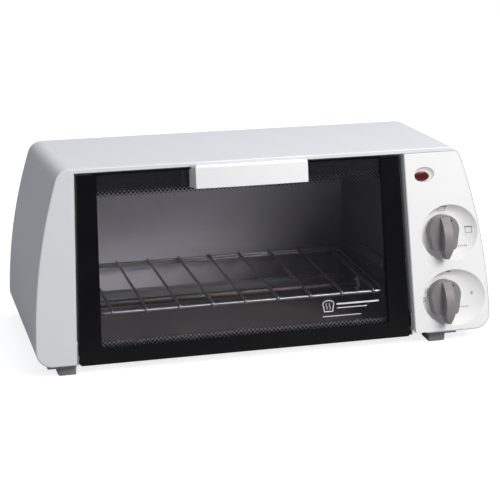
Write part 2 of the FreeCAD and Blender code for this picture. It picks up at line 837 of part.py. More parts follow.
def knob_grip(rim):
    # pointer: its plan, kept to what lies under an arched crest
    half = grip_width / 2
    waist = half * 0.93
    plan = [
        (-half, grip_top - grip_corner),
        (-half + grip_corner, grip_top),
        (half - grip_corner, grip_top),
        (half, grip_top - grip_corner),
        (waist, -knob_chord),
        (grip_tip_half, -grip_tip),
        (-grip_tip_half, -grip_tip),
        (-waist, -knob_chord),
    ]
    corners = [Vector(x, v, grip_low) for x, v in plan]
    grip = Part.Face(Part.makePolygon(corners + corners[:1])).extrude(Vector(0, 0, grip_height))
    head = Vector(-half, grip_top + 0.1, rim + crest_top)
    tip = Vector(-half, -grip_tip - 0.1, rim + crest_tip)
    head_foot = Vector(-half, head.y, grip_low)
    tip_foot = Vector(-half, tip.y, grip_low)
    crest = Part.Wire([
        Part.Arc(head, Vector(-half, crest_middle, grip_height), tip).toShape(),
        Part.makeLine(tip, tip_foot),
        Part.makeLine(tip_foot, head_foot),
        Part.makeLine(head_foot, head),
    ])
    return grip.common(Part.Face(crest).extrude(Vector(grip_width, 0, 0)))


def knob(axis_v):
    # domed disc with a tall pointer grip, drawn round its own axis and then placed
    base = -well_depth + knob_lift
    rim = base + knob_skirt
    body = knob_disc(base, rim).fuse(knob_grip(rim))
    bore = Part.makeCylinder(shaft_radius, knob_bore_depth, Vector(0, 0, base))
    body = body.cut(bore).removeSplitter()
    body.translate(Vector(knob_x, axis_v, 0))
    return on_front(body)


def shaft(axis_v, depth):
    # from inside its case to the end of the knob's bore
    end = panel_back - depth + shaft_end_gap
    length = knob_lift - well_depth + knob_bore_depth - end
    return on_front(Part.makeCylinder(shaft_radius, length, Vector(knob_x, axis_v, end)))


def bushing(axis_v):
    return Part.makeCylinder(bushing_radius, panel_wall + bushing_over, Vector(knob_x, axis_v, panel_back))


def shaft_hole(axis_v, depth):
    end = panel_back - depth + shaft_end_gap - seam
    return Part.makeCylinder(shaft_radius + running_clearance, reach, Vector(knob_x, axis_v, end))


def timer_body():
    half = timer_size / 2
    back = panel_back - timer_depth
    case = box(knob_x - half, knob_x + half, timer_v - half, timer_v + half, back, panel_back)
    upright = [edge for edge in case.Edges if abs(edge.Length - timer_depth) < 0.01]
    case = case.makeFillet(timer_round, upright).fuse(bushing(timer_v))
    return on_front(case.cut(shaft_hole(timer_v, timer_depth)))


def timer_bell():
    low = panel_back - timer_depth - bell_depth
    cup = bell_cup(bell_radius, low, bell_depth, bell_round)
    inner_depth = bell_depth - bell_wall
    hollow = bell_cup(bell_radius - bell_wall, low + bell_wall, inner_depth, bell_round - bell_wall)
    post = Part.makeCylinder(bell_post, bell_depth, Vector(knob_x, timer_v, low))
    return on_front(cup.cut(hollow).fuse(post))


def bell_cup(radius, low, depth, rounding):
    cup = Part.makeCylinder(radius, depth, Vector(knob_x, timer_v, low))
    return cup.makeFillet(rounding, [edge for edge in cup.Edges if edge.CenterOfMass.z < low + 0.1])


def mode_switch():
    back = panel_back - switch_depth
    tab_x, tab_v, tab_w = tab_size
    case = Part.makeCylinder(switch_radius, switch_depth, Vector(knob_x, mode_v, back))
    case = case.fuse(bushing(mode_v))
    for index in range(tab_count):
        x = knob_x - tab_first + index * tab_pitch
        case = case.fuse(box(x, x + tab_x, mode_v - tab_v / 2, mode_v + tab_v / 2, back - tab_w, back))
    return on_front(case.cut(shaft_hole(mode_v, switch_depth)))


def thermal_cutout():
    x = cavity_right + liner
    y = cavity_back - cutout_ahead
    z = cavity_top - cutout_drop
    radius, depth = cutout_disc
    plate_y, plate_z, plate_x = cutout_plate
    tab_y, tab_z, tab_x = cutout_tab
    body = cylinder(radius, Vector(x, y, z), Vector(1, 0, 0), depth)
    body = body.fuse(box(x, x + plate_x, y - plate_y / 2, y + plate_y / 2, z - plate_z / 2, z + plate_z / 2))
    for side in (-1, 1):
        middle = y + side * cutout_tab_spread
        body = body.fuse(box(x + depth, x + depth + tab_x, middle - tab_y / 2, middle + tab_y / 2,
                             z - tab_z / 2, z + tab_z / 2))
    return body


def terminal_block():
    width, depth, height = terminal_size
    block = box(cord_x - width / 2, cord_x + width / 2, terminal_y, terminal_y + depth, floor_top,
                floor_top + height)
    for side in (-1, 1):
        start = Vector(cord_x + side * lead_spread, terminal_y - 1, floor_top + lead_height)
        block = block.cut(cylinder(lead_radius, start, Vector(0, 1, 0), depth + 2))
    return block


def bent_tube(points, bend, radius):
    # straight runs joined by tangent arcs
    edges = []
    start = points[0]
    for index in range(1, len(points) - 1):
        corner = points[index]
        before = (points[index - 1] - corner).normalize()
        after = (points[index + 1] - corner).normalize()
        half_turn = (math.pi - before.getAngle(after)) / 2
        back_off = bend * math.tan(half_turn)
        first = corner + before * back_off
        last = corner + after * back_off
        toward = (before + after).normalize()
        middle = corner + toward * (bend / math.cos(half_turn) - bend)
        edges.append(Part.makeLine(start, first))
        edges.append(Part.Arc(first, middle, last).toShape())
        start = last
    edges.append(Part.makeLine(start, points[-1]))
    path = Part.Wire(edges)
    ring = Part.Wire(Part.Circle(points[0], points[1] - points[0], radius).toShape())
    return path.makePipeShell([ring], True, False)


def lead_point(side, forward, sideways, up):
    # measured from where the lead starts, inside the terminal block
    x = cord_x + side * lead_spread + sideways
    return Vector(x, terminal_y + lead_start - forward, floor_top + lead_height + up)


def lead_to_timer():
    rear = front_point(knob_x, timer_v, panel_back - timer_depth)
    points = [lead_point(-1, 0, 0, 0)] + [lead_point(-1, *step) for step in timer_lead_bends]
    last = Vector(points[-1].x, rear.y - lead_start, points[-1].z)
    return bent_tube(points + [last], timer_lead_bend, lead_radius)


def lead_to_switch():
    rear = front_point(knob_x, mode_v, panel_back - switch_depth)
    forward, sideways, up = switch_lead_last
    points = [lead_point(1, 0, 0, 0)] + [lead_point(1, *step) for step in switch_lead_bends]
    points.append(lead_point(1, forward, sideways, 0))
    points[-1].z = rear.z + up
    points.append(Vector(points[-1].x, rear.y + 1.0, rear.z + up))
    return bent_tube(points, switch_lead_bend, lead_radius)


def cord_gland():
    plate_front = body_depth - 2 * sheet
    lock_radius, lock_length = gland_lock
    back = Vector(0, 1, 0)
    neck_length = gland_inside + 2 * sheet + gland_outside
    body = cylinder(gland_neck, Vector(cord_x, plate_front - gland_inside, cord_height), back, neck_length)
    flange_start = Vector(cord_x, body_depth - sheet, cord_height)
    body = body.fuse(cylinder(gland_flange, flange_start, back, gland_flange_length))
    lock_start = Vector(cord_x, plate_front - lock_length, cord_height)
    body = body.fuse(cylinder(lock_radius, lock_start, back, lock_length))
    return body.cut(cylinder(gland_bore, Vector(cord_x, plate_front - 10, cord_height), back, 30))


def door_outer(side, v):
    return opening_edge(side, v) - side * door_gap


def rail_inner(side, v):
    share = (v - door_foot) / (door_head - door_foot)
    width = rail_inner_bottom + (rail_inner_top - rail_inner_bottom) * share
    return opening_edge(side, v) - side * width


def strip(side, inner, v0, v1, w0, w1):
    # vertical strip of the door between its outer edge and an inner edge
    points = [
        (door_outer(side, v0), v0),
        (inner(side, v0), v0),
        (inner(side, v1), v1),
        (door_outer(side, v1), v1),
    ]
    return front_prism(points, w0, w1)


def door_rail(side):
    front = -door_face
    back = -door_back
    low = door_foot + leaf
    rail = strip(side, rail_inner, door_foot, door_head, back, front)
    points = [
        (door_outer(side, door_foot) - side * leaf, low),
        (rail_inner(side, door_foot) - side * 5, low),
        (rail_inner(side, door_head) - side * 5, door_head - leaf),
        (door_outer(side, door_head) - side * leaf, door_head - leaf),
    ]
    rail = rail.cut(front_prism(points, back + leaf, front - leaf))
    # hinge block that carries the pin
    outer = door_outer(side, door_foot) - side * leaf
    inner = outer - side * hinge_block
    block = front_box(min(outer, inner), max(outer, inner), low, pivot_v + 4, back + leaf, front - leaf)
    rail = rail.fuse(block)
    rail = rail.cut(pin(side, pin_radius, hinge_block))
    rail = rail.cut(front_prism(corner_cut(side), back - 1, front + 1))
    return rail.removeSplitter()


def corner_cut(side):
    # the lower outer corner of the door is cut off at a slant
    x = door_outer(side, door_foot) + side
    return [(x, door_foot - 1), (x - side * 4.0, door_foot - 1), (x, door_foot + 3.0)]


def pin(side, radius, inside):
    outer = opening_edge(side, pivot_v) - side * pin_end_gap
    inner = door_outer(side, pivot_v) - side * inside
    start = min(outer, inner)
    rod = cylinder(radius, Vector(start, pivot_v, pivot_w), Vector(1, 0, 0), abs(outer - inner))
    return on_front(rod)


def door_pins():
    return Part.makeCompound([pin(side, pin_radius, hinge_block) for side in (-1, 1)])


def hinge_bracket(side):
    wall = opening_edge(side, pivot_v)
    outer = wall - side * ear_gap
    inner = outer - side * ear
    x0 = min(outer, inner)
    top = bottom_rail_height + bracket_over_rail
    plate = box(x0, x0 + ear, -1.0, top, frame_front, pivot_w + bracket_front)
    round_edges = [
        edge for edge in plate.Edges
        if abs(edge.Length - ear) < 0.01 and edge.CenterOfMass.z > pivot_w
    ]
    plate = plate.makeFillet(bracket_round, round_edges)
    foot_width, foot_tall = bracket_foot
    foot_end = outer - side * foot_width
    bracket_base = box(min(outer, foot_end), max(outer, foot_end), top - foot_tall, top, frame_front,
                       frame_front + leaf)
    hole = cylinder(pin_radius + pin_clearance, Vector(x0 - 5, pivot_v, pivot_w), Vector(1, 0, 0), 12)
    return on_front(plate.fuse(bracket_base).cut(hole))


def door_bottom_rail():
    front = -door_face
    back = -door_back
    top = door_foot + bottom_rail_height + 2
    points = [
        (rail_inner(-1, door_foot), door_foot),
        (rail_inner(1, door_foot), door_foot),
        (rail_inner(1, top), top),
        (rail_inner(-1, top), top),
    ]
    rail = front_prism(points, back, front)
    slot = front_box(-half_width, half_width, door_foot + leaf, top + 1, back + leaf, front - leaf)
    return rail.cut(slot)


def glass_edge(side, v):
    return rail_inner(side, v) + side * glass_in_rail


def door_glass():
    low = pivot_v + 4.5
    top = door_head - leaf
    points = [
        (glass_edge(-1, low), low),
        (glass_edge(1, low), low),
        (glass_edge(1, top), top),
        (glass_edge(-1, top), top),
    ]
    glass = front_prism(points, -door_back + leaf, -door_face - leaf)
    for x in handle_screw_xs():
        radius = screw_radius + screw_clearance
        hole = Part.makeCylinder(radius, 20, Vector(x, handle_screw_v(), -door_back - 5))
        glass = glass.cut(on_front(hole))
    return glass


def handle_top_v():
    return front_height / cos_lean + handle_above_lip


def handle_screw_v():
    return handle_top_v() - handle_height + handle_foot * 0.4


def handle_screw_xs():
    offset = (handle_width - handle_foot) / 2
    return (handle_x - offset, handle_x + offset)


def bowed_plan(inset, back):
    # outline of the handle seen from above: straight back, gently bowed front
    half = handle_width / 2 - inset
    front = handle_reach - inset
    y = 0
    return Part.Wire([
        Part.makeLine(Vector(-half, y, back), Vector(half, y, back)),
        Part.makeLine(Vector(half, y, back), Vector(half, y, front - handle_bow)),
        Part.Arc(Vector(half, y, front - handle_bow), Vector(0, y, front),
                 Vector(-half, y, front - handle_bow)).toShape(),
        Part.makeLine(Vector(-half, y, front - handle_bow), Vector(-half, y, back)),
    ])


def door_handle():
    top = handle_top_v()
    low = top - handle_height
    hood = Part.Face(bowed_plan(0, handle_gap)).extrude(Vector(0, handle_height, 0))
    corners = [
        edge for edge in hood.Edges
        if edge.CenterOfMass.y > handle_height - 0.1 and edge.CenterOfMass.z > handle_gap + 0.1
    ]
    hood = hood.makeFillet(handle_round, corners)
    hollow = Part.Face(bowed_plan(handle_wall, -1)).extrude(Vector(0, handle_height - handle_wall + 5, 0))
    hollow.translate(Vector(0, -5, 0))
    hood = hood.cut(hollow)
    foot_back = -door_face - leaf
    foot_top = door_head - low
    for side in (-1, 1):
        outer = side * handle_width / 2
        inner = outer - side * handle_foot
        foot = box(min(outer, inner), max(outer, inner), 0, foot_top, foot_back, handle_gap + 5)
        hood = hood.fuse(foot)
    hood.translate(Vector(handle_x, low, 0))
    for x in handle_screw_xs():
        hole = Part.makeCylinder(screw_radius, 12, Vector(x, handle_screw_v(), foot_back - 1))
        hood = hood.cut(hole)
    return on_front(hood).removeSplitter()


def handle_screws():
    screws = []
    glass_back = -door_back + leaf
    for x in handle_screw_xs():
        shank = Part.makeCylinder(screw_radius, 14, Vector(x, handle_screw_v(), glass_back))
        head = Part.makeCylinder(screw_head_radius + 0.5, screw_head_height,
                                 Vector(x, handle_screw_v(), glass_back - screw_head_height))
        screws.append(on_front(shank.fuse(head)))
    return Part.makeCompound(screws)


def foot_places():
    # inner edge, front edge and the side that the foot is on
    left = -half_width + left_foot_inner
    right = half_width - right_foot_inner
    rear = body_depth - rear_foot_gap - foot_rim[1]
    return [(left, front_foot_y, -1), (right, front_foot_y, 1), (left, rear, -1), (right, rear, 1)]


def foot_screw_places():
    return [(x + side * foot_body[0] / 2, y + foot_rim[1] / 2) for x, y, side in foot_places()]


def foot(x, y, side):
    # rim against the base and a smaller pad, both reaching outwards from the inner edge at x
    rim_x, rim_y, rim_z = foot_rim
    body_x, body_y = foot_body
    outer = x + side * body_x
    rim_outer = x + side * rim_x
    inset = (rim_y - body_y) / 2
    rim = box(min(x, rim_outer), max(x, rim_outer), y, y + rim_y, -rim_z, 0)
    pad = box(min(x, outer), max(x, outer), y + inset, y + inset + body_y, -foot_height, -rim_z)
    rounded = [
        edge for edge in pad.Edges
        if abs(edge.CenterOfMass.x - outer) < 0.1 and edge.CenterOfMass.z < -rim_z - 0.1
    ]
    base = Vector(x + side * body_x / 2, y + rim_y / 2, -foot_height)
    recess = cylinder(screw_head_radius + 0.5, base, Vector(0, 0, 1), foot_screw_recess)
    hole = cylinder(screw_radius, base, Vector(0, 0, 1), foot_height + 1)
    return rim.fuse(pad.makeFillet(foot_round, rounded)).cut(recess).cut(hole)


def foot_screws():
    screws = []
    up = Vector(0, 0, 1)
    seat = -foot_height + foot_screw_recess
    for x, y in foot_screw_places():
        shank = cylinder(screw_radius, Vector(x, y, seat), up, floor_top + foot_screw_out - seat)
        head = cylinder(screw_head_radius, Vector(x, y, seat - screw_head_height), up, screw_head_height)
        screws.append(head.fuse(shank))
    return Part.makeCompound(screws)


def all_nodes():
    nodes = {
        "outer_wrap": outer_wrap(),
        "back_panel": back_panel(),
        "back_panel_screws": rear_screws(),
        "base_plate": base_plate(),
        "front_frame": front_frame(),
        "cavity_left_wall": cavity_wall(-1),
        "cavity_right_wall": cavity_wall(1),
        "cavity_ceiling": cavity_ceiling(),
        "cavity_back_wall": cavity_back_wall(),
        "upper_element": element(*element_places[1]),
        "lower_element": element(*element_places[0]),
        "element_insulators": element_insulators(),
        "wire_rack": wire_rack(),
        "crumb_tray": crumb_tray(),
        "control_panel": control_panel(),
        "control_panel_screws": panel_screws(),
        "indicator_lens": indicator_lens(),
        "indicator_lamp": indicator_body(),
        "mode_knob": knob(mode_v),
        "mode_shaft": shaft(mode_v, switch_depth),
        "mode_switch": mode_switch(),
        "timer_knob": knob(timer_v),
        "timer_shaft": shaft(timer_v, timer_depth),
        "timer_body": timer_body(),
        "timer_bell": timer_bell(),
        "thermal_cutout": thermal_cutout(),
        "terminal_block": terminal_block(),
        "timer_lead": lead_to_timer(),
        "switch_lead": lead_to_switch(),
        "cord_gland": cord_gland(),
        "door_glass": door_glass(),
        "door_rail_left": door_rail(-1),
        "door_rail_right": door_rail(1),
        "door_rail_bottom": door_bottom_rail(),
        "door_handle": door_handle(),
        "door_handle_screws": handle_screws(),
        "door_hinge_pins": door_pins(),
        "hinge_bracket_left": hinge_bracket(-1),
        "hinge_bracket_right": hinge_bracket(1),
        "foot_screws": foot_screws(),
    }
    names = ("foot_front_left", "foot_front_right", "foot_rear_left", "foot_rear_right")
    for name, (x, y, side) in zip(names, foot_places()):
        nodes[name] = foot(x, y, side)
    return nodes


def origin_shift(nodes):
    # from the drawing's zero to the row's origin, under the middle of the whole oven
    whole = FreeCAD.BoundBox()
    for shape in nodes.values():
        whole.add(shape.optimalBoundingBox(False, False))
    return Vector(-(whole.XMin + whole.XMax) / 2, -(whole.YMin + whole.YMax) / 2, -whole.ZMin)


def main():
    os.makedirs("parts", exist_ok=True)
    nodes = all_nodes()
    shift = origin_shift(nodes)
    for name, shape in nodes.items():
        moved = shape.copy()
        moved.translate(shift)
        moved.exportStep("parts/" + name + ".step")
        print(name, len(moved.Solids), "solids, valid", moved.isValid(), round(moved.Volume / 1000, 2), "cm3")
    hinge = front_point(door_middle, pivot_v, pivot_w) + shift
    print("origin shift", [round(value, 3) for value in shift])
    print("door axis", [round(value, 3) for value in hinge])
    print("mode axis", [round(value, 3) for value in front_point(knob_x, mode_v, 0) + shift])
    print("timer axis", [round(value, 3) for value in front_point(knob_x, timer_v, 0) + shift])
    return nodes, shift


main()
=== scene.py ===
import bmesh
import bpy
import json
import math
from mathutils import Matrix, Vector


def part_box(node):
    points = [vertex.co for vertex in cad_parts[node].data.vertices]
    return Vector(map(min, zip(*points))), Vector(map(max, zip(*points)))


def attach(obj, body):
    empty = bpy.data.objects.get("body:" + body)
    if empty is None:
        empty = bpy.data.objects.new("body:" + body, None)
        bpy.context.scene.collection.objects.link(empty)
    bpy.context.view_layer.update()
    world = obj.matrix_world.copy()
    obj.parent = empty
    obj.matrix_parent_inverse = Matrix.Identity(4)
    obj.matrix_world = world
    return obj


# Compact countertop toaster oven: white enamelled wrap, black-edged glass door, two dished dials.
# The fixed frame gives every place. x is to the right, v runs up the leaning front, w comes out of it.

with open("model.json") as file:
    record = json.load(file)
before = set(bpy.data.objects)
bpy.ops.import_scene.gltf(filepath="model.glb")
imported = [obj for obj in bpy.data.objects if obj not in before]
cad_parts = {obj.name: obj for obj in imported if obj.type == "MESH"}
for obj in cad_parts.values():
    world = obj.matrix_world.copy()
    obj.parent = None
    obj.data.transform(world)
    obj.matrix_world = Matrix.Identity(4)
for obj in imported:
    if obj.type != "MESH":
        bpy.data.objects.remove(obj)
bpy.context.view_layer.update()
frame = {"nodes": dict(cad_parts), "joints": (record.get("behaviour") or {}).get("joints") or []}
mm = 0.001
joints = {joint["name"]: joint for joint in frame["joints"]}

modeAxis = Vector(joints["mode_knob_turn"]["pos_m"])
timerAxis = Vector(joints["timer_knob_turn"]["pos_m"])
frontOut = -Vector(joints["timer_knob_turn"]["axis"]).normalized()
frontUp = Vector((0, frontOut.z, -frontOut.y))
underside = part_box("outer_wrap")[0].z
frontFoot = timerAxis - frontUp * ((timerAxis.z - underside) / frontUp.z)
frontFoot.x = 0
frontMatrix = Matrix((
    (1, 0, 0, 0),
    (0, frontUp.y, frontOut.y, frontFoot.y),
    (0, frontUp.z, frontOut.z, frontFoot.z),
    (0, 0, 0, 1),
))
print("frame loaded:", len(frame["nodes"]), "CAD nodes")


# Camera and light.

cameraView = {
    "place": (-0.3771, -1.35135, 0.5224),
    "turn": 15.70,      # degrees to the right of straight on
    "dip": 17.67,       # degrees down
    "roll": 0.55,
    "lens": 114.9,
    "sensor": 36,
    "near": 0.05,
    "far": 50,
}


def makeCamera(view):
    turn, dip, roll = (math.radians(view[key]) for key in ("turn", "dip", "roll"))
    ahead = Vector((math.sin(turn) * math.cos(dip), math.cos(turn) * math.cos(dip), -math.sin(dip)))
    right = Vector((math.cos(turn), -math.sin(turn), 0))
    up = right.cross(ahead)
    tiltedRight = right * math.cos(roll) + up * math.sin(roll)
    tiltedUp = up * math.cos(roll) - right * math.sin(roll)
    data = bpy.data.cameras.new("camera")
    data.lens = view["lens"]
    data.sensor_width = view["sensor"]
    data.clip_start = view["near"]
    data.clip_end = view["far"]
    camera = bpy.data.objects.new("camera", data)
    bpy.context.scene.collection.objects.link(camera)
    turnMatrix = Matrix((tiltedRight, tiltedUp, -ahead)).transposed().to_4x4()
    camera.matrix_world = Matrix.Translation(view["place"]) @ turnMatrix
    bpy.context.scene.camera = camera


studio = {
    "keyPlace": (0.62, -1.00, 1.02),
    "keySize": 0.75,
    "keyPower": 15.0,
    "keyColor": (1.0, 0.985, 0.96),
    "topPlace": (0.30, 0.10, 1.4),
    "topSize": 1.2,
    "topPower": 7.4,
    "topColor": (1, 1, 1),
    "aim": (0, 0, 0.09),
    "skyFadeHeight": 0.7,
    "skyHigh": (0.42, 0.43, 0.46),
    "skyLow": (0.135, 0.135, 0.15),
    "floorColor": (0.44, 0.44, 0.45),
    "floorGlow": 0.80,
    "floorHalf": 8,
    "floorRoughness": 0.9,
    "floorSpecular": 0.1,
}


def addAreaLight(name, place, size, power, color, aim):
    data = bpy.data.lights.new(name, "AREA")
    data.shape = "DISK"
    data.size = size
    data.energy = power
    data.color = color
    light = bpy.data.objects.new(name, data)
    bpy.context.scene.collection.objects.link(light)
    light.location = place
    light.rotation_euler = (Vector(aim) - Vector(place)).to_track_quat("-Z", "Y").to_euler()


def makeStudio(settings):
    world = bpy.data.worlds.new("studioWorld")
    bpy.context.scene.world = world
    world.use_nodes = True
    nodes, links = world.node_tree.nodes, world.node_tree.links
    background = nodes["Background"]
    coordinate = nodes.new("ShaderNodeTexCoord")
    separate = nodes.new("ShaderNodeSeparateXYZ")
    fade = nodes.new("ShaderNodeMapRange")
    fade.interpolation_type = "SMOOTHSTEP"
    fade.inputs["From Min"].default_value = 0.0
    fade.inputs["From Max"].default_value = settings["skyFadeHeight"]
    blend = nodes.new("ShaderNodeMix")
    blend.data_type = "RGBA"
    blend.inputs["A"].default_value = (*settings["skyLow"], 1)
    blend.inputs["B"].default_value = (*settings["skyHigh"], 1)
    links.new(coordinate.outputs["Generated"], separate.inputs[0])
    links.new(separate.outputs["Z"], fade.inputs["Value"])
    links.new(fade.outputs["Result"], blend.inputs["Factor"])
    links.new(blend.outputs["Result"], background.inputs["Color"])

    for kind in ("key", "top"):
        place, size, power, color = (settings[kind + key] for key in ("Place", "Size", "Power", "Color"))
        addAreaLight(kind + "Light", place, size, power, color, settings["aim"])

    bm = bmesh.new()
    bmesh.ops.create_grid(bm, x_segments=1, y_segments=1, size=settings["floorHalf"])
    mesh = bpy.data.meshes.new("studioFloor")
    bm.to_mesh(mesh)
    bm.free()
    floor = bpy.data.objects.new("studioFloor", mesh)
    bpy.context.scene.collection.objects.link(floor)
    paper = bpy.data.materials.new("palePaper")
    paper.use_nodes = True
    nodes, links = paper.node_tree.nodes, paper.node_tree.links
    shader = nodes["Principled BSDF"]
    shader.inputs["Base Color"].default_value = (*settings["floorColor"], 1)
    shader.inputs["Roughness"].default_value = settings["floorRoughness"]
    shader.inputs["Specular IOR Level"].default_value = settings["floorSpecular"]
    glow = nodes.new("ShaderNodeEmission")
    seen = nodes.new("ShaderNodeLightPath")
    strength = nodes.new("ShaderNodeMath")
    strength.operation = "MULTIPLY"
    strength.inputs[1].default_value = settings["floorGlow"]
    both = nodes.new("ShaderNodeAddShader")
    links.new(seen.outputs["Is Camera Ray"], strength.inputs[0])
    links.new(strength.outputs[0], glow.inputs["Strength"])
    links.new(shader.outputs[0], both.inputs[0])
    links.new(glow.outputs[0], both.inputs[1])
    links.new(both.outputs[0], nodes["Material Output"].inputs["Surface"])
    floor.data.materials.append(paper)


bpy.context.scene.view_settings.view_transform = "Standard"
makeCamera(cameraView)
makeStudio(studio)
print("camera and studio ready")


# Shared surface effects.

effectShape = {
    "noiseRoughness": 0.55,
    "patchLow": 0.35,       # mottle: where the second colour starts and is full
    "patchHigh": 0.68,
    "speckle": 0.06,
    "lineStretch": (0.03, 1, 1),
    "sheetPatchScale": 18.0,
    "sheetRoughness": 0.16,
    "dustLevel": 0.3,       # how far up a face looks before dust stays on it
    "dustScale": 45.0,
    "heatScale": 22.0,
}


def startGroup(name, inputs, outputs):
    tree = bpy.data.node_groups.new(name, "ShaderNodeTree")
    for title, kind, value in inputs:
        socket = tree.interface.new_socket(title, in_out="INPUT", socket_type=kind)
        socket.default_value = value
    for title, kind in outputs:
        tree.interface.new_socket(title, in_out="OUTPUT", socket_type=kind)
    source = tree.nodes.new("NodeGroupInput")
    result = tree.nodes.new("NodeGroupOutput")
    return tree, source, result


def addMath(tree, operation, first, second):
    node = tree.nodes.new("ShaderNodeMath")
    node.operation = operation
    for index, value in enumerate((first, second)):
        if isinstance(value, (int, float)):
            node.inputs[index].default_value = value
        else:
            tree.links.new(value, node.inputs[index])
    return node.outputs[0]


def addMix(tree, factor, first, second):
    node = tree.nodes.new("ShaderNodeMix")
    node.data_type = "RGBA"
    node.clamp_factor = True
    for title, value in (("Factor", factor), ("A", first), ("B", second)):
        if isinstance(value, (int, float)):
            node.inputs[title].default_value = value
        elif isinstance(value, tuple):
            node.inputs[title].default_value = (*value, 1)
        else:
            tree.links.new(value, node.inputs[title])
    return node.outputs["Result"]


def addNoise(tree, scale, detail, stretch=(1, 1, 1)):
    coordinate = tree.nodes.new("ShaderNodeTexCoord")
    mapping = tree.nodes.new("ShaderNodeMapping")
    mapping.inputs["Scale"].default_value = stretch
    noise = tree.nodes.new("ShaderNodeTexNoise")
    noise.inputs["Detail"].default_value = detail
    noise.inputs["Roughness"].default_value = effectShape["noiseRoughness"]
    tree.links.new(coordinate.outputs["Object"], mapping.inputs["Vector"])
    tree.links.new(mapping.outputs["Vector"], noise.inputs["Vector"])
    if isinstance(scale, (int, float)):
        noise.inputs["Scale"].default_value = scale
    else:
        tree.links.new(scale, noise.inputs["Scale"])
    return noise.outputs["Fac"]


def makeMottleGroup():
    # soft change of tone and gloss, with a fine skin texture
    tree, source, result = startGroup("mottle", [
        ("Color", "NodeSocketColor", (0.8, 0.8, 0.8, 1)),
        ("Second Color", "NodeSocketColor", (0.7, 0.7, 0.7, 1)),
        ("Patch Scale", "NodeSocketFloat", 12.0),
        ("Grain Scale", "NodeSocketFloat", 900.0),
        ("Amount", "NodeSocketFloat", 0.5),
        ("Roughness", "NodeSocketFloat", 0.4),
        ("Roughness Spread", "NodeSocketFloat", 0.1),
    ], [("Color", "NodeSocketColor"), ("Roughness", "NodeSocketFloat"), ("Grain", "NodeSocketFloat")])
    patch = addNoise(tree, source.outputs["Patch Scale"], 5)
    grain = addNoise(tree, source.outputs["Grain Scale"], 2)
    steep = tree.nodes.new("ShaderNodeMapRange")
    steep.inputs["From Min"].default_value = effectShape["patchLow"]
    steep.inputs["From Max"].default_value = effectShape["patchHigh"]
    tree.links.new(patch, steep.inputs["Value"])
    amount = addMath(tree, "MULTIPLY", steep.outputs["Result"], source.outputs["Amount"])
    color = addMix(tree, amount, source.outputs["Color"], source.outputs["Second Color"])
    centred = addMath(tree, "SUBTRACT", patch, 0.5)
    change = addMath(tree, "MULTIPLY", centred, source.outputs["Roughness Spread"])
    speckle = addMath(tree, "MULTIPLY", addMath(tree, "SUBTRACT", grain, 0.5), effectShape["speckle"])
    rough = addMath(tree, "ADD", source.outputs["Roughness"], addMath(tree, "ADD", change, speckle))
    tree.links.new(color, result.inputs["Color"])
    tree.links.new(rough, result.inputs["Roughness"])
    tree.links.new(grain, result.inputs["Grain"])
    return tree


def makeRolledGroup():
    # long faint rolling lines of sheet metal, with dull patches
    tree, source, result = startGroup("rolledLines", [
        ("Color", "NodeSocketColor", (0.6, 0.6, 0.62, 1)),
        ("Line Color", "NodeSocketColor", (0.4, 0.4, 0.42, 1)),
        ("Line Scale", "NodeSocketFloat", 300.0),
        ("Amount", "NodeSocketFloat", 0.5),
        ("Roughness", "NodeSocketFloat", 0.4),
    ], [("Color", "NodeSocketColor"), ("Roughness", "NodeSocketFloat"), ("Lines", "NodeSocketFloat")])
    lines = addNoise(tree, source.outputs["Line Scale"], 3, effectShape["lineStretch"])
    patches = addNoise(tree, effectShape["sheetPatchScale"], 4)
    both = addMath(tree, "MULTIPLY", lines, addMath(tree, "ADD", patches, 0.5))
    amount = addMath(tree, "MULTIPLY", both, source.outputs["Amount"])
    color = addMix(tree, amount, source.outputs["Color"], source.outputs["Line Color"])
    dull = addMath(tree, "MULTIPLY", patches, effectShape["sheetRoughness"])
    rough = addMath(tree, "ADD", source.outputs["Roughness"], dull)
    tree.links.new(color, result.inputs["Color"])
    tree.links.new(rough, result.inputs["Roughness"])
    tree.links.new(lines, result.inputs["Lines"])
    return tree


def makeDustGroup():
    # a thin film of dust on faces that look up
    tree, source, result = startGroup("settledDust", [
        ("Color", "NodeSocketColor", (0.8, 0.8, 0.8, 1)),
        ("Dust Color", "NodeSocketColor", (0.6, 0.58, 0.55, 1)),
        ("Amount", "NodeSocketFloat", 0.2),
    ], [("Color", "NodeSocketColor"), ("Dust", "NodeSocketFloat")])
    geometry = tree.nodes.new("ShaderNodeNewGeometry")
    split = tree.nodes.new("ShaderNodeSeparateXYZ")
    tree.links.new(geometry.outputs["Normal"], split.inputs[0])
    level = tree.nodes.new("ShaderNodeMapRange")
    level.inputs["From Min"].default_value = effectShape["dustLevel"]
    level.inputs["From Max"].default_value = 1.0
    tree.links.new(split.outputs["Z"], level.inputs["Value"])
    cloud = addNoise(tree, effectShape["dustScale"], 6)
    film = addMath(tree, "MULTIPLY", level.outputs["Result"], cloud)
    amount = addMath(tree, "MULTIPLY", film, source.outputs["Amount"])
    color = addMix(tree, amount, source.outputs["Color"], source.outputs["Dust Color"])
    tree.links.new(color, result.inputs["Color"])
    tree.links.new(amount, result.inputs["Dust"])
    return tree


